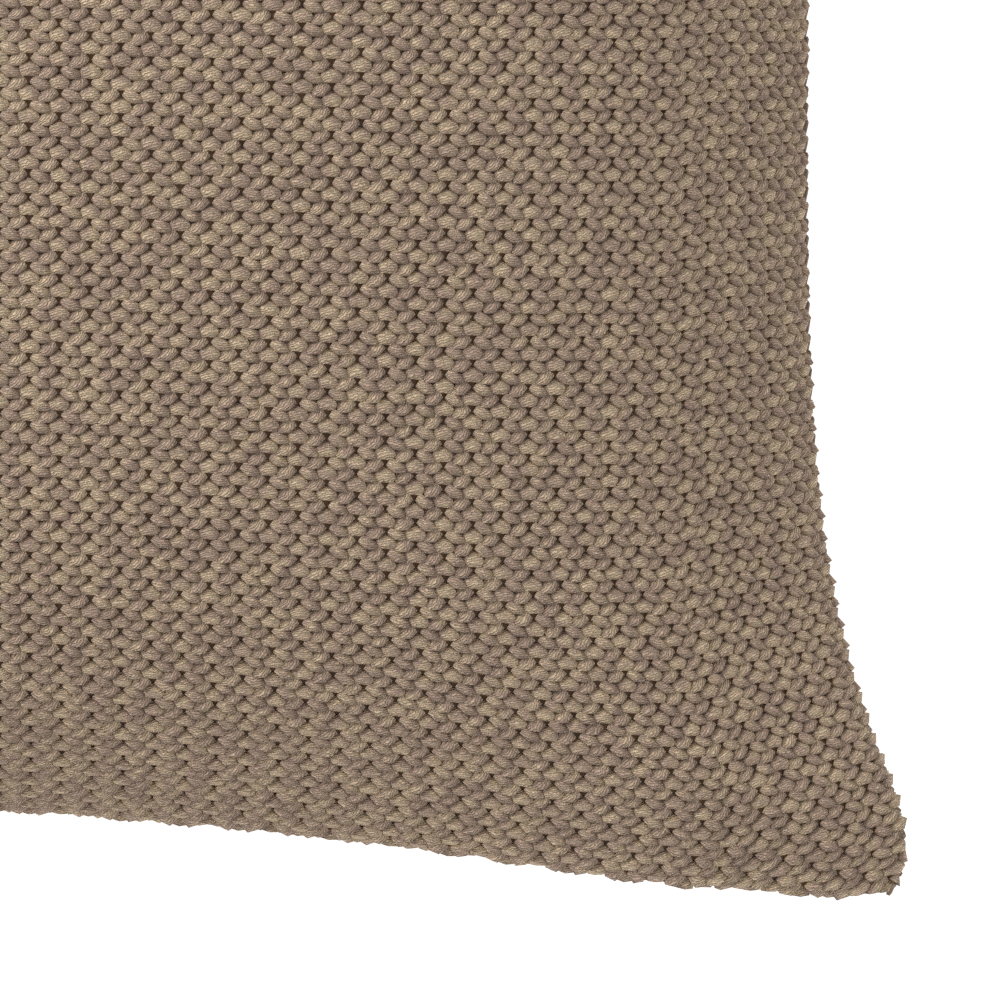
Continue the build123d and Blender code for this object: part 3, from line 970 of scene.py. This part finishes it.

# %% [markdown]
# ## Finishes for the CAD pieces
# The slider, pull and stops are cast zinc, plated and a little worn, so their gloss is uneven. Sewing
# thread is twisted polyester. The filling is siliconised fibre. Each CAD node gets its finish by the start
# of its name, in each of its material slots.

# %% Metal, thread and filling
# plated zinc: a warm metal whose gloss is patchy where it has worn
zinc, zinc_tree, zinc_shader = new_material(
    "zinc_cast_antique_brass_plated", Base_Color=linear("9a8666"), Metallic=1.0, Roughness=0.36
)
worn = add(
    zinc_tree,
    "ShaderNodeTexNoise",
    {"Vector": add(zinc_tree, "ShaderNodeTexCoord").outputs["Object"], "Scale": 420.0, "Detail": 3.0},
)
zinc_tree.links.new(
    add(zinc_tree, "ShaderNodeMapRange", {0: worn.outputs[0], 1: 0.3, 2: 0.7, 3: 0.25, 4: 0.5}).outputs[0],
    zinc_shader.inputs["Roughness"],
)
tarnish = add(
    zinc_tree,
    "ShaderNodeMix",
    {0: worn.outputs[0], 6: linear("7b6a50"), 7: linear("b9a57f")},
    data_type="RGBA",
)
zinc_tree.links.new(tarnish.outputs[2], zinc_shader.inputs["Base Color"])

# twisted polyester: lighter and darker bands that lean across the thread
thread, thread_tree, thread_shader = new_material("polyester_thread_twisted", Roughness=0.6)
twist = add(
    thread_tree,
    "ShaderNodeTexWave",
    {
        0: add(thread_tree, "ShaderNodeTexCoord").outputs["Object"],
        "Scale": 2 * math.pi / (20 * 0.5 * MM),
        "Distortion": 1.5,
    },
    bands_direction="DIAGONAL",
)
twisted = add(
    thread_tree,
    "ShaderNodeMix",
    {0: twist.outputs["Fac"], 6: linear("6c5b4c"), 7: linear("9b8873")},
    data_type="RGBA",
)
thread_tree.links.new(twisted.outputs[2], thread_shader.inputs["Base Color"])

# loose fibre: matte tufts with soft hollows between them, the hollows painted darker as painted shade
fibre, fibre_tree, fibre_shader = new_material("polyester_fibre_loose", Roughness=0.95, Sheen_Weight=0.2)
tuft = add(
    fibre_tree,
    "ShaderNodeTexNoise",
    {
        "Vector": add(fibre_tree, "ShaderNodeTexCoord").outputs["Object"],
        "Scale": 120.0,
        "Detail": 5.0,
        "Distortion": 1.2,
    },
)
tufted = add(
    fibre_tree,
    "ShaderNodeMix",
    {0: tuft.outputs[0], 6: linear("dedad2"), 7: linear("fbfaf7")},
    data_type="RGBA",
)
fibre_tree.links.new(tufted.outputs[2], fibre_shader.inputs["Base Color"])
fluff = add(
    fibre_tree, "ShaderNodeBump", {"Strength": 0.8, "Distance": 1.0 * MM, "Height": tuft.outputs[0]}
)
fibre_tree.links.new(fluff.outputs[0], fibre_shader.inputs["Normal"])

# %% Dress the CAD nodes
finish_of = {
    "zip_tape": tape_cloth,
    "zip_stitch": thread,
    "zip_coil": nylon,
    "zip_top_stop": zinc,
    "zip_bottom_stop": zinc,
    "zip_slider": zinc,
    "zip_pull": zinc,
    "insert_fill": fibre,
    "insert_seam": thread,
    "insert_closing_seam": thread,
    "insert": cotton,
    "care_label": satin,
    "label_stitch": thread,
    "seam": chain_yarn_shaded_copy,
    "cover": ground,
}
for name, node in sorted(frame["nodes"].items()):
    prefix = max((p for p in finish_of if name.startswith(p)), key=len)
    for place in node.material_slots:
        place.material = finish_of[prefix]
    if not node.material_slots:
        node.data.materials.append(finish_of[prefix])
    print(name, "is", finish_of[prefix].name)
